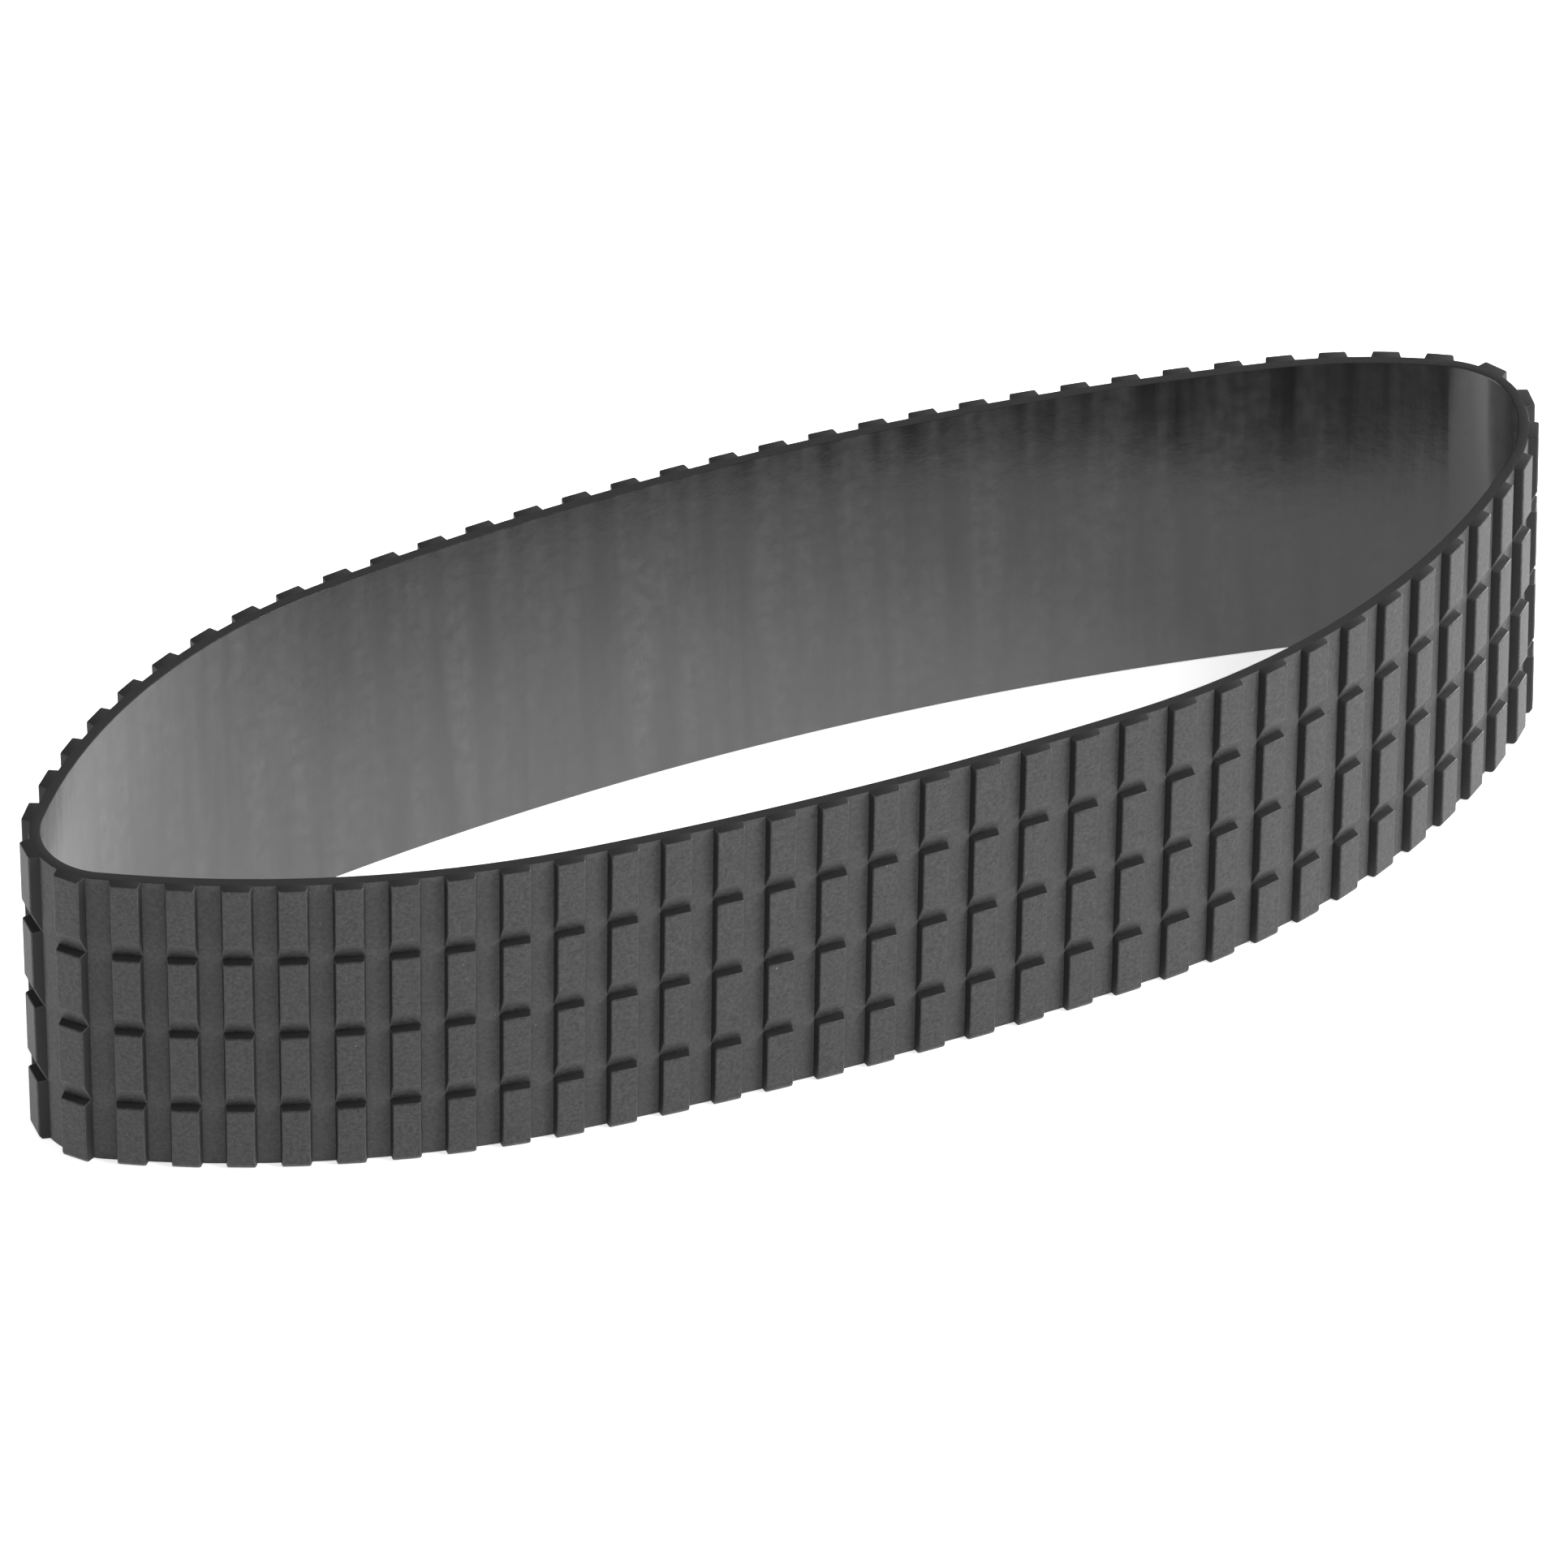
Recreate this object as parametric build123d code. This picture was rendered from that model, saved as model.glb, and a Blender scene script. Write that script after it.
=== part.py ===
"""Slip-on rubber grip ring for a camera lens, standing squeezed into a long loop.

The ring is a thin moulded band with drafted grip blocks on its outer face, in
68 columns and four rows. It stands on its lower edge. The long way of the loop
lies along X, the origin is under the middle of its box, and +Z is up.
"""
import math
import os

from build123d import *

# Driving dimensions, in millimetres and degrees
RING_WIDTH = 18.4
BAND_THICKNESS = 0.6
COLUMN_COUNT = 68

BLOCK_HEIGHT = 0.5
BLOCK_FACE_WIDTH = 1.43
BLOCK_SIDE_DRAFT = 11.0
BLOCK_FACE_LENGTH = 3.6
BLOCK_RAMP_LENGTH = 1.05
BLOCK_TOP_DRAFT_LENGTH = 0.08
ROW_COUNT = 4
ROW_PITCH = 4.85
LOWEST_CHAMFER_UP = 0.28
LOWEST_CHAMFER_IN = 0.17
BLOCK_ROOT_DEPTH = 0.3

# The loop's middle line, as tangent arcs run counter-clockwise from above:
# how far each runs and how many degrees it turns. A length of None is worked
# out, so that the loop closes.
NEAR_NOSE = (None, 93.7)
FRONT_NEAR = (25.2, 26.0)
FRONT_MIDDLE = (29.9, 9.1)
FRONT_FAR = (30.3, 40.8)
FAR_NOSE_IN = (5.7, 35.8)
FAR_NOSE = (5.1, 67.8)
BACK_FAR = (9.5, 19.5)
BACK_MIDDLE = (None, 21.5)
BACK_NEAR = (24.5, 45.8)
LOOP_ARCS = [
    NEAR_NOSE, FRONT_NEAR, FRONT_MIDDLE, FRONT_FAR, FAR_NOSE_IN,
    FAR_NOSE, BACK_FAR, BACK_MIDDLE, BACK_NEAR,
]
START_HEADING = -125.5
FIRST_COLUMN_SHARE = 0.83

# The squeezed loop leans: its lower edge is a little narrower and longer.
LOWER_WIDTH_SCALE = 0.944
LOWER_LENGTH_SCALE = 1.007


def mean_direction(heading, turn):
    """Chord of an arc of length 1 that starts at a heading and turns."""
    half = math.radians(turn) / 2
    middle = math.radians(heading) + half
    shortening = math.sin(half) / half
    return Vector(math.cos(middle), math.sin(middle)) * shortening


def closed_lengths():
    """Arc lengths, with the two open ones solved so that the chords add to zero."""
    heading = START_HEADING
    left_over = Vector(0, 0)
    open_chords = []
    for length, turn in LOOP_ARCS:
        chord = mean_direction(heading, turn)
        if length is None:
            open_chords.append(chord)
        else:
            left_over += chord * length
        heading += turn
    first, second = open_chords
    area = first.X * second.Y - first.Y * second.X
    first_length = (left_over.Y * second.X - left_over.X * second.Y) / area
    second_length = (left_over.X * first.Y - left_over.Y * first.X) / area
    solved = iter([first_length, second_length])
    return [next(solved) if length is None else length for length, turn in LOOP_ARCS]


ARC_LENGTHS = closed_lengths()
LOOP_LENGTH = sum(ARC_LENGTHS)
COLUMN_PITCH = LOOP_LENGTH / COLUMN_COUNT


def raw_station(distance):
    """Point and heading on the middle line, measured from the first arc's start."""
    distance %= LOOP_LENGTH
    point = Vector(0, 0)
    heading = START_HEADING
    for length, (_, turn) in zip(ARC_LENGTHS, LOOP_ARCS):
        if distance <= length:
            part_turn = turn * distance / length
            if distance > 0:
                point += mean_direction(heading, part_turn) * distance
            return point, heading + part_turn
        point += mean_direction(heading, turn) * length
        heading += turn
        distance -= length
    return point, heading


def arc_stations():
    """Distances to each arc's start, middle and end."""
    stations = []
    start = 0.0
    for length in ARC_LENGTHS:
        stations.append((start, start + length / 2, start + length))
        start += length
    return stations


def tangent(heading):
    """Horizontal direction along the band."""
    angle = math.radians(heading)
    return Vector(math.cos(angle), math.sin(angle))


def outward(heading):
    """Horizontal direction out of the loop."""
    return tangent(heading - 90)


def column_station(column):
    """Point and heading on the middle line behind one column of blocks."""
    return raw_station((column + FIRST_COLUMN_SHARE) * COLUMN_PITCH)


def middle_of_box():
    """Middle of the box around the outer corners of all block faces."""
    corners = []
    for column in range(COLUMN_COUNT):
        point, heading = column_station(column)
        face_middle = point + outward(heading) * (BAND_THICKNESS / 2 + BLOCK_HEIGHT)
        half_face = tangent(heading) * (BLOCK_FACE_WIDTH / 2)
        corners += [face_middle - half_face, face_middle + half_face]
    x_values = [corner.X for corner in corners]
    y_values = [corner.Y for corner in corners]
    return Vector(min(x_values) + max(x_values), min(y_values) + max(y_values)) * 0.5


CENTRE = middle_of_box()


def upper(point, heading, offset):
    """Point of the upper edge's outline, at an offset outside the middle line."""
    return point + outward(heading) * offset - CENTRE


def lower(point):
    """Point of the lower edge that stands under a point of the upper edge."""
    return Vector(point.X * LOWER_LENGTH_SCALE, point.Y * LOWER_WIDTH_SCALE)


def loop_face(offset, place, height):
    """Face inside the loop's outline at one height, as one arc for each arc of the loop."""
    arcs = []
    for stations in arc_stations():
        points = []
        for distance in stations:
            point, heading = raw_station(distance)
            points.append(place(upper(point, heading, offset)) + Vector(0, 0, height))
        arcs.append(ThreePointArc(*points))
    return make_face(Wire(arcs))


def filled_loop(offset):
    """Solid that fills the loop out to an offset from the middle line."""
    lower_face = loop_face(offset, lower, 0)
    upper_face = loop_face(offset, Vector, RING_WIDTH)
    return loft([lower_face, upper_face], ruled=True)


def block_profile(row):
    """Side view of one block as (height, distance out from the band) corners."""
    top = RING_WIDTH - row * ROW_PITCH
    root = -BLOCK_ROOT_DEPTH
    face_bottom = top - BLOCK_FACE_LENGTH
    slope = BLOCK_RAMP_LENGTH / BLOCK_HEIGHT
    draft = BLOCK_TOP_DRAFT_LENGTH / BLOCK_HEIGHT
    root_rise = BLOCK_HEIGHT - root
    if row == 0:
        upper_end = [(top, root), (top, BLOCK_HEIGHT)]
    else:
        upper_end = [(top + draft * root_rise, root), (top, BLOCK_HEIGHT)]
    if row == ROW_COUNT - 1:
        lower_end = [
            (LOWEST_CHAMFER_UP, BLOCK_HEIGHT),
            (0, BLOCK_HEIGHT - LOWEST_CHAMFER_IN),
            (0, root),
        ]
    else:
        lower_end = [(face_bottom, BLOCK_HEIGHT), (face_bottom - slope * root_rise, root)]
    return upper_end + lower_end


def drafted_block(row, column):
    """One block, leaning with the band, with its root sunk into the band."""
    point, heading = column_station(column)
    upper_point = upper(point, heading, BAND_THICKNESS / 2)
    lower_point = lower(upper_point)
    rise = (upper_point - lower_point) * (1 / RING_WIDTH) + Vector(0, 0, 1)
    along = tangent(heading)
    out = outward(heading)
    side_slope = math.tan(math.radians(BLOCK_SIDE_DRAFT))

    def corner(height, reach, side):
        half_width = BLOCK_FACE_WIDTH / 2 + (BLOCK_HEIGHT - reach) * side_slope
        return lower_point + rise * height + out * reach + along * (side * half_width)

    profile = block_profile(row)
    near_side = [corner(height, reach, -1) for height, reach in profile]
    far_side = [corner(height, reach, 1) for height, reach in profile]
    count = len(profile)
    loops = [near_side, far_side]
    for index in range(count):
        following = (index + 1) % count
        loops.append([near_side[index], near_side[following], far_side[following], far_side[index]])
    faces = [Face(Wire.make_polygon(loop, close=True)) for loop in loops]
    return Solid(Shell(faces))


def make_band():
    """The plain band that holds the blocks."""
    half = BAND_THICKNESS / 2
    return filled_loop(half) - filled_loop(-half)


def make_block_row(row, core):
    """Separate blocks of one row, each ending exactly on the band's outer face."""
    blocks = []
    for column in range(COLUMN_COUNT):
        blocks += (drafted_block(row, column) - core).solids()
    return Compound(children=blocks)


def main():
    os.makedirs("parts", exist_ok=True)
    band = make_band()
    export_step(band, "parts/band.step")
    core = filled_loop(BAND_THICKNESS / 2)
    for row in range(ROW_COUNT):
        blocks = make_block_row(row, core)
        export_step(blocks, f"parts/block_row_{row + 1}.step")
        print(f"row {row + 1}: {len(blocks.solids())} blocks, {blocks.volume:.2f} mm3")
    print(f"loop {LOOP_LENGTH:.2f} mm, column pitch {COLUMN_PITCH:.3f} mm")
    print(f"band {band.volume:.1f} mm3")


main()
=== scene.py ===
# %% [markdown]
# # A slip-on rubber grip ring, squeezed into a loop
#
# A grip ring is the rubber sleeve that is stretched over the focus or zoom ring
# of a camera lens. It is one elastic moulding: a thin band, smooth inside, with
# raised blocks outside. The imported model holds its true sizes, so this script
# loads that first, as a frame to work around, and notes its box before it adds
# anything. The box is the limit that the finished meshes stay within.

# %% Load the frame
import math

import bmesh
import bpy
from mathutils import Matrix, Vector


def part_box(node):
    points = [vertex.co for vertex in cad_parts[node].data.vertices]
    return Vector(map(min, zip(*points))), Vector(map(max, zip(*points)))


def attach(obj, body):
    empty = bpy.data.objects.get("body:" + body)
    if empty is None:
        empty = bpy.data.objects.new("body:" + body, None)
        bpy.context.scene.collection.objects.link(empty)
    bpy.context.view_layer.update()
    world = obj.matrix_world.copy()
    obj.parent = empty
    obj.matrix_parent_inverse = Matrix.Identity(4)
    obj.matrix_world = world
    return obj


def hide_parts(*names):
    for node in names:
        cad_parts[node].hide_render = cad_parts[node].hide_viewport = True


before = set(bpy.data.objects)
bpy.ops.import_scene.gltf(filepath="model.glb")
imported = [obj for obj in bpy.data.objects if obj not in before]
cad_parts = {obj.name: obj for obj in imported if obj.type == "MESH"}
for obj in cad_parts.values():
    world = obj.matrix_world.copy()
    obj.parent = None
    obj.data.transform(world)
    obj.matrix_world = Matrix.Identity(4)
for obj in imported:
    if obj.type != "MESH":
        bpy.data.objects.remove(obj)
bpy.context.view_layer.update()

MM = 0.001
band_low, band_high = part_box("band")
RING_WIDTH = band_high.z - band_low.z
print("band is", round(RING_WIDTH / MM, 2), "mm wide")

# %% [markdown]
# ## The loop's middle line
#
# The relaxed ring is round, but a loose one is squeezed into a long loop with a
# tight nose at each end. A free-hand curve could copy that shape, but nothing
# would then say how far apart the grip blocks are. A chain of tangent arcs says
# it exactly: each arc has a length and a turn, so any distance round the ring
# gives one point and one heading. The list repeats the arcs of the CAD model.

# %% Arcs of the middle line, as (length in millimetres, turn in degrees)
LOOP_ARCS = [
    (6.413, 93.7),    # near nose
    (25.2, 26.0),
    (29.9, 9.1),
    (30.3, 40.8),
    (5.7, 35.8),
    (5.1, 67.8),      # far nose
    (9.5, 19.5),
    (53.795, 21.5),
    (24.5, 45.8),
]
START_HEADING = math.radians(-125.5)
LOOP_LENGTH = sum(length for length, turn in LOOP_ARCS) * MM
COLUMN_COUNT = 68
COLUMN_PITCH = LOOP_LENGTH / COLUMN_COUNT
print("loop is", round(LOOP_LENGTH / MM, 1), "mm long")
print("column pitch is", round(COLUMN_PITCH / MM, 3), "mm")

# %% One step along the chain
def arc_step(point, heading, distance, turn):
    """Point and heading after going a distance while turning evenly."""
    half = turn / 2
    chord = distance * math.sin(half) / half
    step = Vector((math.cos(heading + half), math.sin(heading + half), 0)) * chord
    return point + step, heading + turn


def station(distance):
    """Point and heading on the middle line, at a distance from the chain's start."""
    point, heading = Vector((0, 0, 0)), START_HEADING
    left = distance % LOOP_LENGTH
    for length_mm, degrees in LOOP_ARCS:
        length, turn = length_mm * MM, math.radians(degrees)
        part = min(left, length)
        if part > 0:
            point, heading = arc_step(point, heading, part, turn * part / length)
        left -= part
        if left <= 0:
            break
    return point, heading


def outward(heading):
    """Horizontal direction out of the loop."""
    return Vector((math.sin(heading), -math.cos(heading), 0))


# The whole length would wrap round to the start, so the gap is measured just before it.
ALMOST_WHOLE = 0.9999999
end_point = station(LOOP_LENGTH * ALMOST_WHOLE)[0]
print("loop closes to", round(end_point.length / MM, 4), "mm")

# %% [markdown]
# ## Sizes of the section and the lean
#
# The band is 0.6 mm thick and each block stands 0.5 mm proud of it. The loose
# loop also leans a little: its lower edge is squeezed narrower than the upper
# one. That is one small scaling that fades out with height, so every vertex of
# the band and of the blocks can go through the same function.

# %% Section sizes
BAND_THICKNESS = 0.6 * MM
BLOCK_HEIGHT = 0.5 * MM
BLOCK_FACE_WIDTH = 1.43 * MM
BLOCK_SIDE_DRAFT = math.radians(11)
FIRST_COLUMN_SHARE = 0.83    # pitches from the chain's start to the first column
LOWER_LENGTH_SCALE = 1.007
LOWER_WIDTH_SCALE = 0.944


def block_column(column):
    """Point and heading on the middle line behind one column of blocks."""
    return station((column + FIRST_COLUMN_SHARE) * COLUMN_PITCH)


# %% Where the chain's start lies in the frame
face_corners = []
for column in range(COLUMN_COUNT):
    point, heading = block_column(column)
    middle = point + outward(heading) * (BAND_THICKNESS / 2 + BLOCK_HEIGHT)
    half_face = Vector((math.cos(heading), math.sin(heading), 0)) * (BLOCK_FACE_WIDTH / 2)
    face_corners += [middle - half_face, middle + half_face]
x_values = [corner.x for corner in face_corners]
y_values = [corner.y for corner in face_corners]
CENTRE = Vector((min(x_values) + max(x_values), min(y_values) + max(y_values), 0)) / 2
print("chain starts at", [round(-value / MM, 3) for value in CENTRE.xy])


def lean(point):
    """The point, squeezed as far as its height above the lower edge says."""
    share = 1 - point.z / RING_WIDTH
    x_scale = 1 + (LOWER_LENGTH_SCALE - 1) * share
    y_scale = 1 + (LOWER_WIDTH_SCALE - 1) * share
    return Vector((point.x * x_scale, point.y * y_scale, point.z))


# %% [markdown]
# ## The band
#
# The band could be a solidified strip, but its four long edges are slightly
# rounded, as on anything that comes out of a rubber mould. So its section is
# drawn once as a small rectangle with rounded corners, and then spun round the
# centre of each arc in turn, a step at a time. Each step writes how far round
# the ring it is, because the satin streaks of the inner face follow that
# distance and not the room's X and Y.

# %% The section, as a closed outline
EDGE_ROUNDING = 0.06 * MM
EDGE_SEGMENTS = 3
WALL_ROWS = 6


def band_section(bm):
    """Rounded rectangle across the band at the chain's start. Returns its verts and edges."""
    out = outward(START_HEADING) * (BAND_THICKNESS / 2)
    up = Vector((0, 0, RING_WIDTH))
    verts = [bm.verts.new(corner) for corner in (-out, out, out + up, up - out)]
    bm.faces.new(verts)
    bmesh.ops.bevel(bm, geom=verts, offset=EDGE_ROUNDING, offset_type="OFFSET",
                    segments=EDGE_SEGMENTS, profile=0.5, affect="VERTICES", material=-1)
    bmesh.ops.delete(bm, geom=bm.faces[:], context="FACES_ONLY")
    walls = [edge for edge in bm.edges if edge.calc_length() > RING_WIDTH / 2]
    bmesh.ops.subdivide_edges(bm, edges=walls, cuts=WALL_ROWS - 1)
    return bm.verts[:], bm.edges[:]


# %% Spin it round every arc
STEP_TURN = math.radians(3)
STEP_LENGTH = 1.4 * MM


def spun_band(bm):
    """Spins the section round the chain, writing the distance round the ring on each vertex."""
    along = bm.verts.layers.float.new("along")
    verts, edges = band_section(bm)
    point, heading, distance = Vector((0, 0, 0)), START_HEADING, 0.0
    for length_mm, degrees in LOOP_ARCS:
        length, turn = length_mm * MM, math.radians(degrees)
        centre = point - outward(heading) * (length / turn)
        steps = max(math.ceil(turn / STEP_TURN), math.ceil(length / STEP_LENGTH))
        for step in range(steps):
            spun = bmesh.ops.spin(bm, geom=verts + edges, cent=centre, axis=(0, 0, 1),
                                  angle=turn / steps, steps=1)
            verts = [item for item in spun["geom_last"] if isinstance(item, bmesh.types.BMVert)]
            edges = [item for item in spun["geom_last"] if isinstance(item, bmesh.types.BMEdge)]
            distance += length / steps
            for vert in verts:
                vert[along] = distance
        point, heading = arc_step(point, heading, length, turn)
    return along


def new_piece(name, bm):
    """Puts a bmesh into a new object that sits at the origin."""
    mesh = bpy.data.meshes.new(name)
    bm.to_mesh(mesh)
    bm.free()
    piece = bpy.data.objects.new(name, mesh)
    bpy.context.scene.collection.objects.link(piece)
    return piece


# %% Map, close and lean the band
MERGE_DISTANCE = 0.002 * MM


def make_band():
    """The band with its map: U is metres round the ring, V is metres above the lower edge."""
    bm = bmesh.new()
    along = spun_band(bm)
    uv = bm.loops.layers.uv.new("UVMap")
    for face in bm.faces:
        for loop in face.loops:
            loop[uv].uv = (loop.vert[along], loop.vert.co.z)
    bmesh.ops.remove_doubles(bm, verts=bm.verts, dist=MERGE_DISTANCE)
    bmesh.ops.recalc_face_normals(bm, faces=bm.faces)
    for vert in bm.verts:
        vert.co = lean(vert.co - CENTRE)
    for face in bm.faces:
        face.smooth = True
    open_edges = sum(not edge.is_manifold for edge in bm.edges)
    print("band has", len(bm.faces), "faces and", open_edges, "open edges")
    return new_piece("smooth_band", bm)


band = make_band()
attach(band, "root")
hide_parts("band")

# %% [markdown]
# ## One grip block
#
# Every block has a flat outer face, sides that draft outwards to the root so
# that it leaves the mould, a steep upper end and a long ramp at its lower end.
# The top row ends flush with the rim, and the bottom row has a small chamfer.
# A cube gives the six faces: its inner four corners are moved out to the root,
# and then only the edges that a finger touches are bevelled.

# %% Block sizes
ROW_COUNT = 4
ROW_PITCH = 4.85 * MM
BLOCK_FACE_LENGTH = 3.6 * MM
BLOCK_RAMP_LENGTH = 1.18 * MM
UPPER_END_SLOPE = 0.08 / 0.5
LOWEST_CHAMFER_UP = 0.28 * MM
LOWEST_CHAMFER_IN = 0.17 * MM
ROOT_DEPTH = 0.2 * MM
BLOCK_ROUNDING = 0.08 * MM
BLOCK_SEGMENTS = 2
RIM_CLEARANCE = 0.004 * MM


def block_ends(row):
    """Heights of a block's face and root: (face low, face high, root low, root high)."""
    high = RING_WIDTH - row * ROW_PITCH
    low = high - BLOCK_FACE_LENGTH
    rise = BLOCK_HEIGHT + ROOT_DEPTH
    root_high = high + UPPER_END_SLOPE * rise
    root_low = low - BLOCK_RAMP_LENGTH * rise / BLOCK_HEIGHT
    if row == 0:
        high = root_high = high - RIM_CLEARANCE
    if row == ROW_COUNT - 1:
        low = root_low = RIM_CLEARANCE
    return low, high, root_low, root_high


# %% Chamfer of the bottom row
def chamfer_lowest(bm):
    """Cuts the lower outer edge off along a slant, and closes the cut."""
    edge_point = Vector((0, BLOCK_HEIGHT, LOWEST_CHAMFER_UP))
    normal = Vector((0, LOWEST_CHAMFER_UP, -LOWEST_CHAMFER_IN)).normalized()
    cut = bmesh.ops.bisect_plane(bm, geom=bm.verts[:] + bm.edges[:] + bm.faces[:],
                                 plane_co=edge_point, plane_no=normal, clear_outer=True)
    cut_edges = [item for item in cut["geom_cut"] if isinstance(item, bmesh.types.BMEdge)]
    bmesh.ops.contextual_create(bm, geom=cut_edges)


# %% Shape it from a cube
FACE_SKIN, SHADE_DARKENED_SIDE_SKIN, RIM_SKIN = 0, 1, 2
SQUARE_ON = 0.9    # a normal with a larger share along an axis faces along that axis


def block_mesh(row):
    """One block: X runs along the band, Y out of it and Z up, with its root sunk behind Y = 0."""
    low, high, root_low, root_high = block_ends(row)
    half_face = BLOCK_FACE_WIDTH / 2
    half_root = half_face + (BLOCK_HEIGHT + ROOT_DEPTH) * math.tan(BLOCK_SIDE_DRAFT)
    bm = bmesh.new()
    cube = bmesh.ops.create_cube(bm, size=2)
    for vert in cube["verts"]:
        upper = vert.co.z > 0
        if vert.co.y > 0:
            height = high if upper else low
            vert.co = Vector((vert.co.x * half_face, BLOCK_HEIGHT, height))
        else:
            height = root_high if upper else root_low
            vert.co = Vector((vert.co.x * half_root, -ROOT_DEPTH, height))
    if row == ROW_COUNT - 1:
        chamfer_lowest(bm)
    touched = [edge for edge in bm.edges if all(vert.co.y > 0 for vert in edge.verts)]
    touched += [edge for edge in bm.edges if (edge.verts[0].co.y > 0) != (edge.verts[1].co.y > 0)]
    bmesh.ops.bevel(bm, geom=touched, offset=BLOCK_ROUNDING, offset_type="OFFSET",
                    segments=BLOCK_SEGMENTS, profile=0.5, affect="EDGES", clamp_overlap=True,
                    material=-1)
    for face in bm.faces:
        face.smooth = True
        if face.normal.z > SQUARE_ON and row == 0:
            face.material_index = RIM_SKIN
        # Sides and upper ends get the side skin, whose darker colour is partly painted shade between the
        # blocks.
        elif abs(face.normal.x) > SQUARE_ON or face.normal.z > SQUARE_ON:
            face.material_index = SHADE_DARKENED_SIDE_SKIN
        else:
            face.material_index = FACE_SKIN
    # The large hidden face at the root would turn the shading of the ramp and the
    # sides away from the light. Sharp edges round it keep it out of the average.
    for edge in bm.edges:
        if all(vert.co.y < 0 for vert in edge.verts):
            edge.smooth = False
    mesh = bpy.data.meshes.new("block_shape")
    bm.to_mesh(mesh)
    bm.free()
    return mesh


# %% Shading of the rounded edges
LARGE_FACE_WEIGHT = 80


def even_normals(piece):
    """Lets the large faces set the shading, so that only the rounded edges look round."""
    modifier = piece.modifiers.new("even_normals", "WEIGHTED_NORMAL")
    modifier.keep_sharp = True
    modifier.weight = LARGE_FACE_WEIGHT


# %% [markdown]
# ## Rows of blocks
#
# A block is repeated at each of the 68 columns of a row. An array modifier along
# a curve could do that, but it bends each block, and a moulded block stays flat.
# Each copy gets its own matrix instead: one column runs along the band, one
# points out of it, and the third climbs with the leaning wall.

# %% Place the columns
def column_matrix(column):
    """Matrix that stands a block on the leaning wall at one column."""
    point, heading = block_column(column)
    upper_point = point + outward(heading) * (BAND_THICKNESS / 2) - CENTRE
    lower_point = lean(upper_point)
    rise = (upper_point - lower_point) / RING_WIDTH + Vector((0, 0, 1))
    along = Vector((math.cos(heading), math.sin(heading), 0))
    matrix = Matrix.Identity(4)
    for index, direction in enumerate((along, outward(heading), rise, lower_point)):
        matrix.col[index].xyz = direction
    return matrix


def make_block_row(row):
    """All blocks of one row, as separate closed shapes in one piece."""
    shape = block_mesh(row)
    bm = bmesh.new()
    for column in range(COLUMN_COUNT):
        bm.from_mesh(shape)
        bm.verts.ensure_lookup_table()
        added = bm.verts[-len(shape.vertices):]
        bmesh.ops.transform(bm, matrix=column_matrix(column), verts=added)
    bmesh.ops.recalc_face_normals(bm, faces=bm.faces)
    print("row", row + 1, "has", len(shape.polygons), "faces on each block")
    return new_piece(f"grip_blocks_{row + 1}", bm)


even_normals(band)
block_rows = []
for row in range(ROW_COUNT):
    blocks = make_block_row(row)
    even_normals(blocks)
    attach(blocks, "root")
    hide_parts(f"block_row_{row + 1}")
    block_rows.append(blocks)

# %% [markdown]
# ## Rubber
#
# The whole ring is one black synthetic rubber, moulded in one shot, but parts of
# the mould were finished in different ways. The block faces were spark-eroded
# and look grainy and lighter. The strips between them are plain matt, and the
# rims were trimmed. The block sides and upper ends get a darker colour than the
# faces: partly the rubber's own tone, partly painted shade that draws the dark
# lines between the blocks. The inner face lay on a polished core, so it has a
# satin shine. A single material could mix all of these with masks. Five small
# materials in slots are easier to read and to tune.

# %% Colour and node helpers
def linear(hex_colour):
    """sRGB hex colour as linear RGBA."""
    channels = []
    for start in (0, 2, 4):
        value = int(hex_colour[start:start + 2], 16) / 255
        channels.append(value / 12.92 if value <= 0.04045 else ((value + 0.055) / 1.055) ** 2.4)
    return (*channels, 1.0)


def add_node(tree, kind, settings=None, inputs=None):
    """Adds one node. Inputs go by name or number, and each is a value or another node's output."""
    node = tree.nodes.new(kind)
    for name, value in (settings or {}).items():
        setattr(node, name, value)
    for key, value in (inputs or {}).items():
        if isinstance(value, bpy.types.NodeSocket):
            tree.links.new(value, node.inputs[key])
        else:
            node.inputs[key].default_value = value
    return node


def new_finish(name, **values):
    """A material whose Principled shader has the given values. Returns material, tree and shader."""
    material = bpy.data.materials.new(name)
    material.use_nodes = True
    shader = material.node_tree.nodes["Principled BSDF"]
    for socket, value in values.items():
        shader.inputs[socket.replace("_", " ")].default_value = value
    return material, material.node_tree, shader


RUBBER_IOR = 1.52
# Sides and upper ends of the blocks: the rubber's dark tone made darker still, as painted shade for the
# lines between the blocks.
SHADE_DARKENED_SIDE_COLOUR = "212121"
shade_darkened_side_linear = [round(value, 4) for value in linear(SHADE_DARKENED_SIDE_COLOUR)[:3]]
print("side colour", SHADE_DARKENED_SIDE_COLOUR, "is", shade_darkened_side_linear, "in linear light")

# %% [markdown]
# ## Grain
#
# Moulded rubber repeats the grain of the mould, and a little dust lies on it.
# Both could be painted, but noise on Object coordinates needs no map and runs on
# from block to block. The real grain is about 0.05 mm. It is drawn as 0.2 mm,
# because a finer one would vanish in a picture of the whole ring.

# %% Grain size and tones
GRAIN = 0.2 * MM
GRAIN_LOW, GRAIN_HIGH = 0.3, 0.7
DUST_SPACING = 0.16 * MM
DUST_COLOUR = "707070"
DUST_LOW, DUST_HIGH = 0.76, 0.86    # only the highest peaks of the noise become specks


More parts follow.
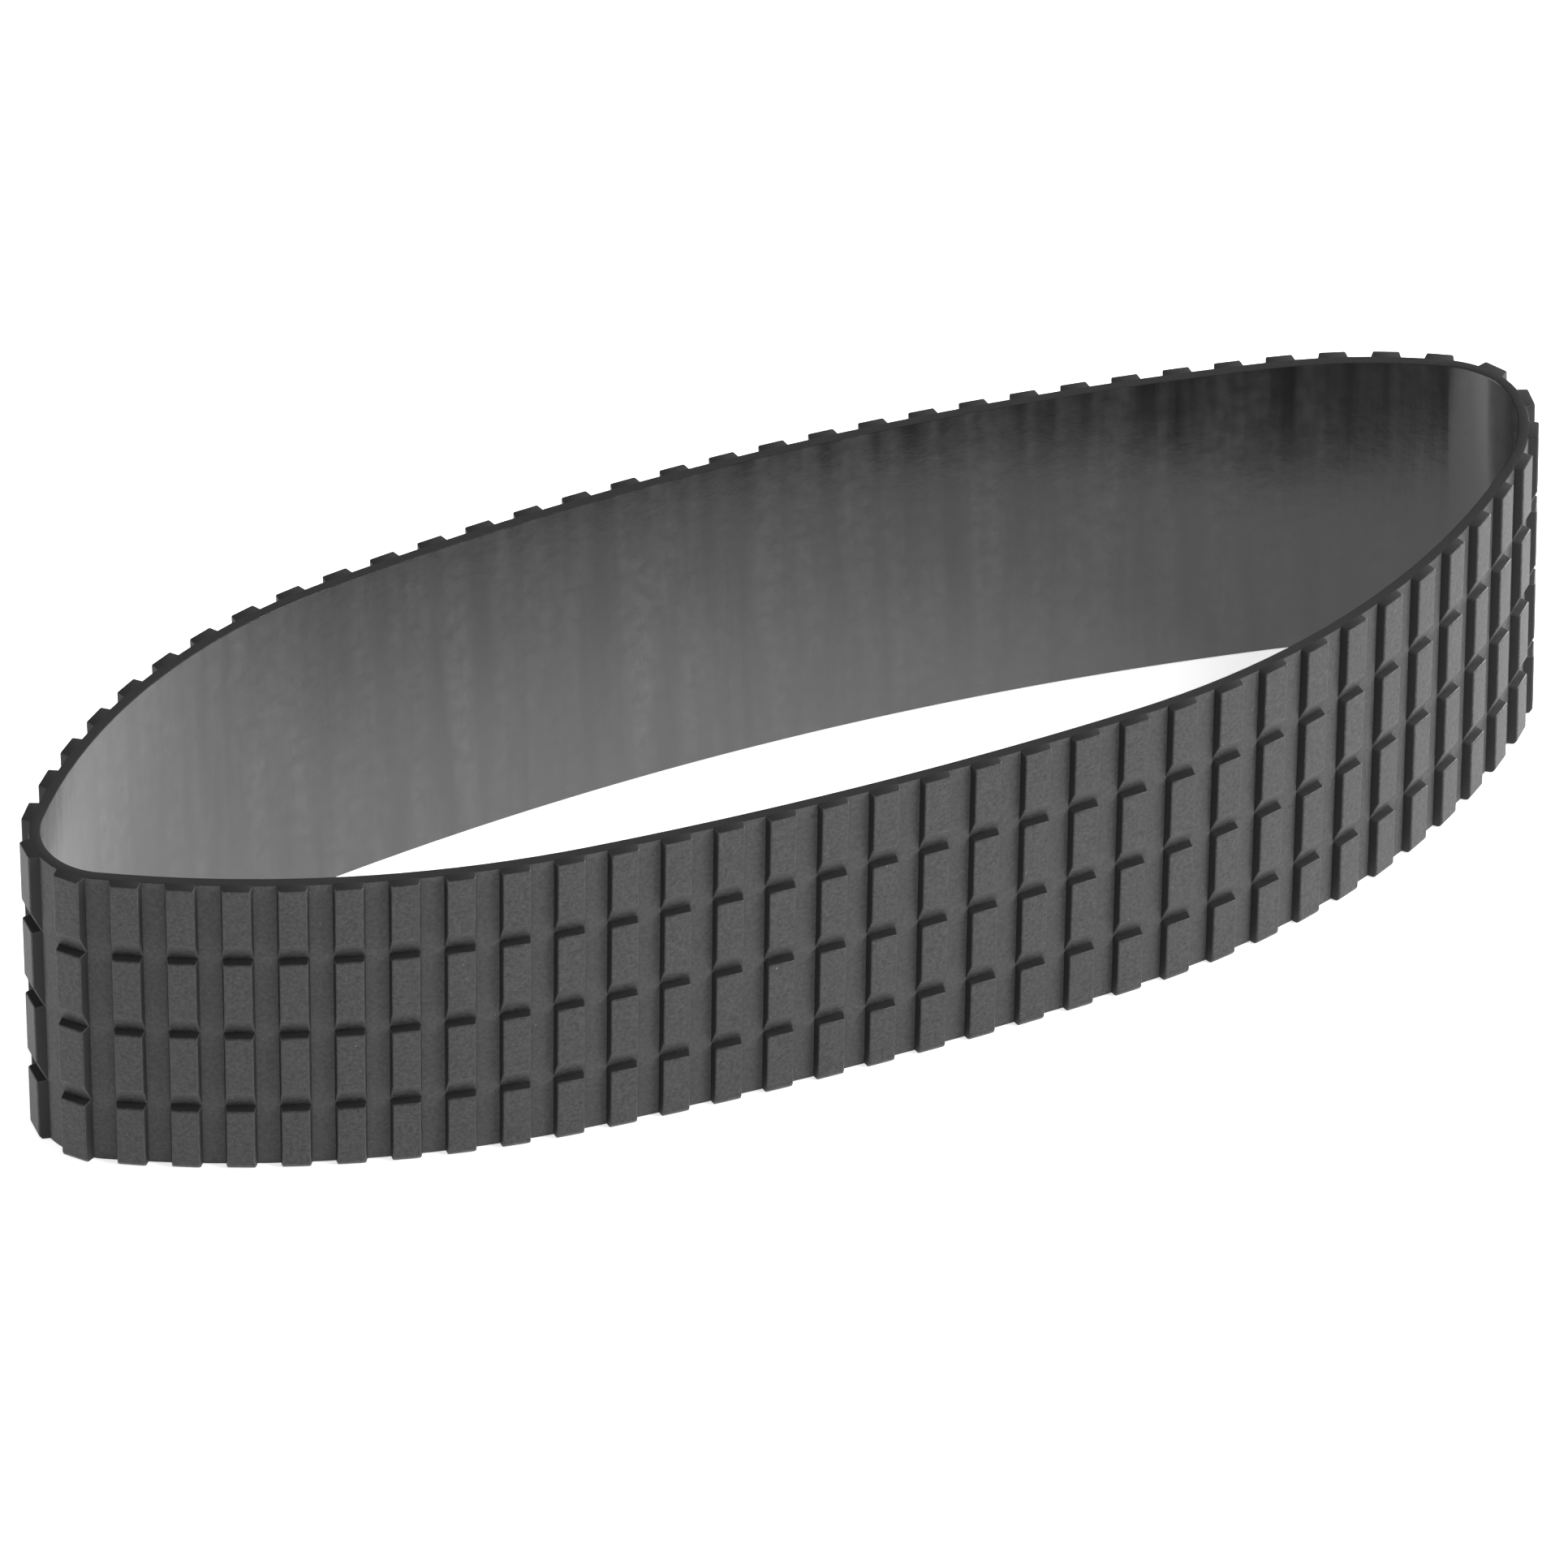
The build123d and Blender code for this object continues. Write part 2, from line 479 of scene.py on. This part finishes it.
def grain_tones(tree, place, dark, light):
    """Noise of the grain's size, and its two tones mixed by it, with specks of dust on top."""
    grain = add_node(tree, "ShaderNodeTexNoise",
                     inputs={"Vector": place, "Scale": 1 / GRAIN, "Detail": 3.0, "Roughness": 0.65})
    share = add_node(tree, "ShaderNodeMapRange",
                     inputs={"Value": grain.outputs["Fac"],
                             "From Min": GRAIN_LOW, "From Max": GRAIN_HIGH})
    tone = add_node(tree, "ShaderNodeMix", {"data_type": "RGBA"},
                    {0: share.outputs["Result"], 6: linear(dark), 7: linear(light)})
    specks = add_node(tree, "ShaderNodeTexNoise",
                      inputs={"Vector": place, "Scale": 1 / DUST_SPACING, "Detail": 1.0})
    cover = add_node(tree, "ShaderNodeMapRange",
                     inputs={"Value": specks.outputs["Fac"],
                             "From Min": DUST_LOW, "From Max": DUST_HIGH})
    dusty = add_node(tree, "ShaderNodeMix", {"data_type": "RGBA"},
                     {0: cover.outputs["Result"], 6: tone.outputs[2], 7: linear(DUST_COLOUR)})
    return grain.outputs["Fac"], dusty.outputs[2]


def roughen(tree, shader, height, depth, strength=1.0):
    """Bumps the shader by a height pattern that is so many metres deep."""
    bump = add_node(tree, "ShaderNodeBump",
                    inputs={"Height": height, "Strength": strength, "Distance": depth})
    tree.links.new(bump.outputs["Normal"], shader.inputs["Normal"])
    return bump


# %% Block faces
def spark_eroded_face_rubber():
    """Grainy block faces: tiny pits, and more soft sheen than the strips and the sides."""
    material, tree, shader = new_finish("spark_eroded_face_rubber", Roughness=0.5, IOR=RUBBER_IOR,
                                        Specular_IOR_Level=0.27)
    place = add_node(tree, "ShaderNodeTexCoord").outputs["Object"]
    grain, tone = grain_tones(tree, place, "1f1f1f", "383838")
    tree.links.new(tone, shader.inputs["Base Color"])
    roughen(tree, shader, grain, depth=0.03 * MM, strength=0.8)
    return material


# %% Strips between the blocks
def matt_strip_rubber():
    """Strips between the blocks: a paler tone with little sheen, so that they look flat and matt."""
    material, tree, shader = new_finish("matt_strip_rubber", Roughness=0.65, IOR=RUBBER_IOR,
                                        Specular_IOR_Level=0.2)
    place = add_node(tree, "ShaderNodeTexCoord").outputs["Object"]
    grain, tone = grain_tones(tree, place, "343434", "444444")
    tree.links.new(tone, shader.inputs["Base Color"])
    roughen(tree, shader, grain, depth=0.02 * MM, strength=0.5)
    return material


# %% Block sides
def shade_darkened_side_rubber():
    """Steep sides and upper ends of the blocks: shallow grain, and a colour darker than the faces that is
    partly painted shade, so they draw the dark lines between faces.
    """
    material, tree, shader = new_finish("shade_darkened_side_rubber", Base_Color=linear(SHADE_DARKENED_SIDE_COLOUR),
                                        Roughness=0.55, IOR=RUBBER_IOR, Specular_IOR_Level=0.2)
    place = add_node(tree, "ShaderNodeTexCoord").outputs["Object"]
    grain = add_node(tree, "ShaderNodeTexNoise",
                     inputs={"Vector": place, "Scale": 1 / GRAIN, "Detail": 2.0})
    roughen(tree, shader, grain.outputs["Fac"], depth=0.015 * MM, strength=0.4)
    return material


# %% Rims
TEAR_SPACING = 0.15 * MM


def trimmed_rim_rubber():
    """Flat rims, trimmed after moulding: dull and dark, with the faint tear of the trimming."""
    material, tree, shader = new_finish("trimmed_rim_rubber", Base_Color=linear("222222"),
                                        Roughness=0.8, IOR=RUBBER_IOR, Specular_IOR_Level=0.15)
    place = add_node(tree, "ShaderNodeTexCoord").outputs["Object"]
    tear = add_node(tree, "ShaderNodeTexNoise",
                    inputs={"Vector": place, "Scale": 1 / TEAR_SPACING, "Detail": 2.0})
    roughen(tree, shader, tear.outputs["Fac"], depth=0.02 * MM, strength=0.6)
    return material


# %% [markdown]
# ## The satin inner face
#
# The inner face was pulled off its core across the width of the band, and that
# left faint streaks 1 to 2 mm apart, with patches of pale bloom on them, the wax
# that rises out of black rubber. Object coordinates would run the streaks
# through the loop, so this finish reads the band's own map. The streaks are
# noise that is drawn out about 12 times along the height. They set how shiny the
# skin is, how much bloom it has, and a shallow ripple.

# %% Inner face
STREAK_SPACING = 1.6 * MM
STREAK_SQUASH = 0.08    # the map is squashed this much in height, which draws the noise out
BLOOM_PATCH = 0.9 * MM
SMOOTHEST, ROUGHEST = 0.18, 0.28
CLEAN_COLOUR, BLOOM_COLOUR = "060606", "404040"


def satin_inner_rubber():
    """Inner face off the polished core: it mirrors the table softly, with pale bloom on top."""
    material, tree, shader = new_finish("satin_inner_rubber", IOR=1.7, Specular_IOR_Level=0.7)
    place = add_node(tree, "ShaderNodeUVMap", {"uv_map": "UVMap"}).outputs["UV"]
    drawn_out = add_node(tree, "ShaderNodeMapping",
                         inputs={"Vector": place, "Scale": (1.0, STREAK_SQUASH, 1.0)})
    streaks = add_node(tree, "ShaderNodeTexNoise",
                       inputs={"Vector": drawn_out.outputs["Vector"], "Scale": 1 / STREAK_SPACING,
                               "Detail": 3.0, "Roughness": 0.5})
    patches = add_node(tree, "ShaderNodeTexNoise",
                       inputs={"Vector": place, "Scale": 1 / BLOOM_PATCH, "Detail": 4.0, "Roughness": 0.6})
    gloss = add_node(tree, "ShaderNodeMapRange",
                     inputs={"Value": streaks.outputs["Fac"], "From Min": 0.3, "From Max": 0.7,
                             "To Min": SMOOTHEST, "To Max": ROUGHEST})
    tree.links.new(gloss.outputs["Result"], shader.inputs["Roughness"])
    streak_share = add_node(tree, "ShaderNodeMapRange",
                            inputs={"Value": streaks.outputs["Fac"], "From Min": 0.35, "From Max": 0.8})
    patch_share = add_node(tree, "ShaderNodeMapRange",
                           inputs={"Value": patches.outputs["Fac"], "From Min": 0.2, "From Max": 0.7})
    bloom = add_node(tree, "ShaderNodeMath", {"operation": "MULTIPLY"},
                     {0: streak_share.outputs["Result"], 1: patch_share.outputs["Result"]})
    tone = add_node(tree, "ShaderNodeMix", {"data_type": "RGBA"},
                    {0: bloom.outputs["Value"], 6: linear(CLEAN_COLOUR), 7: linear(BLOOM_COLOUR)})
    tree.links.new(tone.outputs[2], shader.inputs["Base Color"])
    ripple = roughen(tree, shader, streaks.outputs["Fac"], depth=0.02 * MM)
    fine = roughen(tree, shader, patches.outputs["Fac"], depth=0.008 * MM)
    tree.links.new(ripple.outputs["Normal"], fine.inputs["Normal"])
    return material


# %% Give every face its skin
rim_finish = trimmed_rim_rubber()
block_finishes = [spark_eroded_face_rubber(), shade_darkened_side_rubber(), rim_finish]
for blocks in block_rows:
    for finish in block_finishes:
        blocks.data.materials.append(finish)
for finish in (matt_strip_rubber(), satin_inner_rubber(), rim_finish):
    band.data.materials.append(finish)
STRIP_SLOT, INNER_SLOT, RIM_SLOT = 0, 1, 2
LEVEL_ENOUGH = 0.3    # a face whose normal rises or falls more than this belongs to a rim

distances = band.data.uv_layers["UVMap"].data
for face in band.data.polygons:
    around = sum(distances[index].uv.x for index in face.loop_indices) / len(face.loop_indices)
    heading = station(around)[1]
    if abs(face.normal.z) > LEVEL_ENOUGH:
        face.material_index = RIM_SLOT
    elif face.normal.dot(outward(heading)) < 0:
        face.material_index = INNER_SLOT
    else:
        face.material_index = STRIP_SLOT
inner_area = sum(face.area for face in band.data.polygons if face.material_index == INNER_SLOT)
print("inner face is", round(inner_area / MM ** 2), "square mm")

# %% [markdown]
# ## The table
#
# Small parts are often shown on a light table, a sheet of white acrylic that is
# lit from below, because its glow swallows their shadows. An emissive sheet
# alone would look flat and lose all contact, so the sheet is a normal white
# plastic that also glows.

# %% Light table
TABLE_HALF = 1.5
TABLE_GAP = 0.05 * MM
TABLE_GLOW = 0.68
WHITE = (1.0, 1.0, 1.0, 1.0)

bm = bmesh.new()
bmesh.ops.create_grid(bm, x_segments=1, y_segments=1, size=TABLE_HALF)
bmesh.ops.translate(bm, verts=bm.verts, vec=(0, 0, -TABLE_GAP))
table = new_piece("light_table", bm)
table_finish = new_finish("white_acrylic_light_table", Base_Color=linear("f2f2f2"), Roughness=0.7,
                          Emission_Color=WHITE, Emission_Strength=TABLE_GLOW)[0]
table.data.materials.append(table_finish)
print("table is", 2 * TABLE_HALF, "m square")

# %% [markdown]
# ## Lights
#
# Black rubber shows its shape by its sheen, so each light has one job. A large
# softbox high on the right lights the block faces and rakes past their sides.
# Weak ones in front, on the left and overhead open the shadows, and a low one at
# each end draws the edge of its nose. A few lights of equal power would be
# simpler, but they would also fill the dark lines that separate the blocks.

# %% Softboxes
AIM = (0, 0, 0.01)


def softbox(name, place, size, power):
    """A square area light that faces the ring."""
    light = bpy.data.lights.new(name, "AREA")
    light.size = size
    light.energy = power
    lamp = bpy.data.objects.new(name, light)
    lamp.location = place
    lamp.rotation_euler = (Vector(AIM) - Vector(place)).to_track_quat("-Z", "Y").to_euler()
    bpy.context.scene.collection.objects.link(lamp)
    print(name, "is", round(Vector(place).length, 2), "m away at", power, "W")


softbox("key_front_right", (0.79, -0.61, 0.66), 0.8, 26.0)
softbox("fill_front", (-0.12, -0.72, 0.96), 0.4, 1.2)
softbox("fill_left", (-0.73, -0.21, 0.93), 0.4, 0.5)
softbox("overhead", (0.0, 0.34, 1.15), 0.6, 1.0)
softbox("edge_right", (0.9, 0.3, 0.16), 0.4, 18.0)
softbox("edge_left", (-0.9, 0.35, 0.2), 0.4, 7.0)

# %% White room
ROOM_GLOW = 0.14
world = bpy.data.worlds.new("white_room")
bpy.context.scene.world = world
world.use_nodes = True
room = world.node_tree.nodes["Background"]
room.inputs["Color"].default_value = WHITE
room.inputs["Strength"].default_value = ROOM_GLOW
bpy.context.scene.view_settings.view_transform = "Standard"
print("the room glows at", ROOM_GLOW)

# %% [markdown]
# ## Camera
#
# The camera looks down at the ring from the front left with a long lens, which
# keeps the far rim almost as large as the near one. Its own sideways, rising and
# forward directions are worked out from three angles and written straight into
# its matrix. A Track To constraint would be quicker, but it can't hold the roll.

# %% Camera
CAMERA_TURN = math.radians(22.735)
CAMERA_DROP = math.radians(37.682)
CAMERA_ROLL = math.radians(-0.582)
CAMERA_DISTANCE = 605.57 * MM
CAMERA_RIGHT = -0.995 * MM
CAMERA_UP = 6.136 * MM
FOCAL_SHARE = 14164.6 / 1932    # focal length as a share of the picture's width
SENSOR_WIDTH = 36

forward = Vector((math.sin(CAMERA_TURN) * math.cos(CAMERA_DROP),
                  math.cos(CAMERA_TURN) * math.cos(CAMERA_DROP), -math.sin(CAMERA_DROP)))
level = Vector((math.cos(CAMERA_TURN), -math.sin(CAMERA_TURN), 0))
rising = level.cross(forward)
right = level * math.cos(CAMERA_ROLL) + rising * math.sin(CAMERA_ROLL)
up = rising * math.cos(CAMERA_ROLL) - level * math.sin(CAMERA_ROLL)
camera_data = bpy.data.cameras.new("camera")
camera_data.sensor_width = SENSOR_WIDTH
camera_data.lens = SENSOR_WIDTH * FOCAL_SHARE
camera_data.clip_start = 0.01
camera_data.clip_end = 20
camera = bpy.data.objects.new("camera", camera_data)
pose = Matrix.Identity(4)
pose.col[0].xyz = right
pose.col[1].xyz = up
pose.col[2].xyz = -forward
pose.col[3].xyz = -forward * CAMERA_DISTANCE + right * CAMERA_RIGHT + up * CAMERA_UP
camera.matrix_world = pose
bpy.context.scene.collection.objects.link(camera)
bpy.context.scene.camera = camera
print("lens is", round(camera_data.lens), "mm at", round(CAMERA_DISTANCE, 3), "m")

# %% [markdown]
# ## Finish
#
# The last step updates the view layer. The finished meshes have to stay inside the
# box of the imported model.

# %% Finish
bpy.context.view_layer.update()
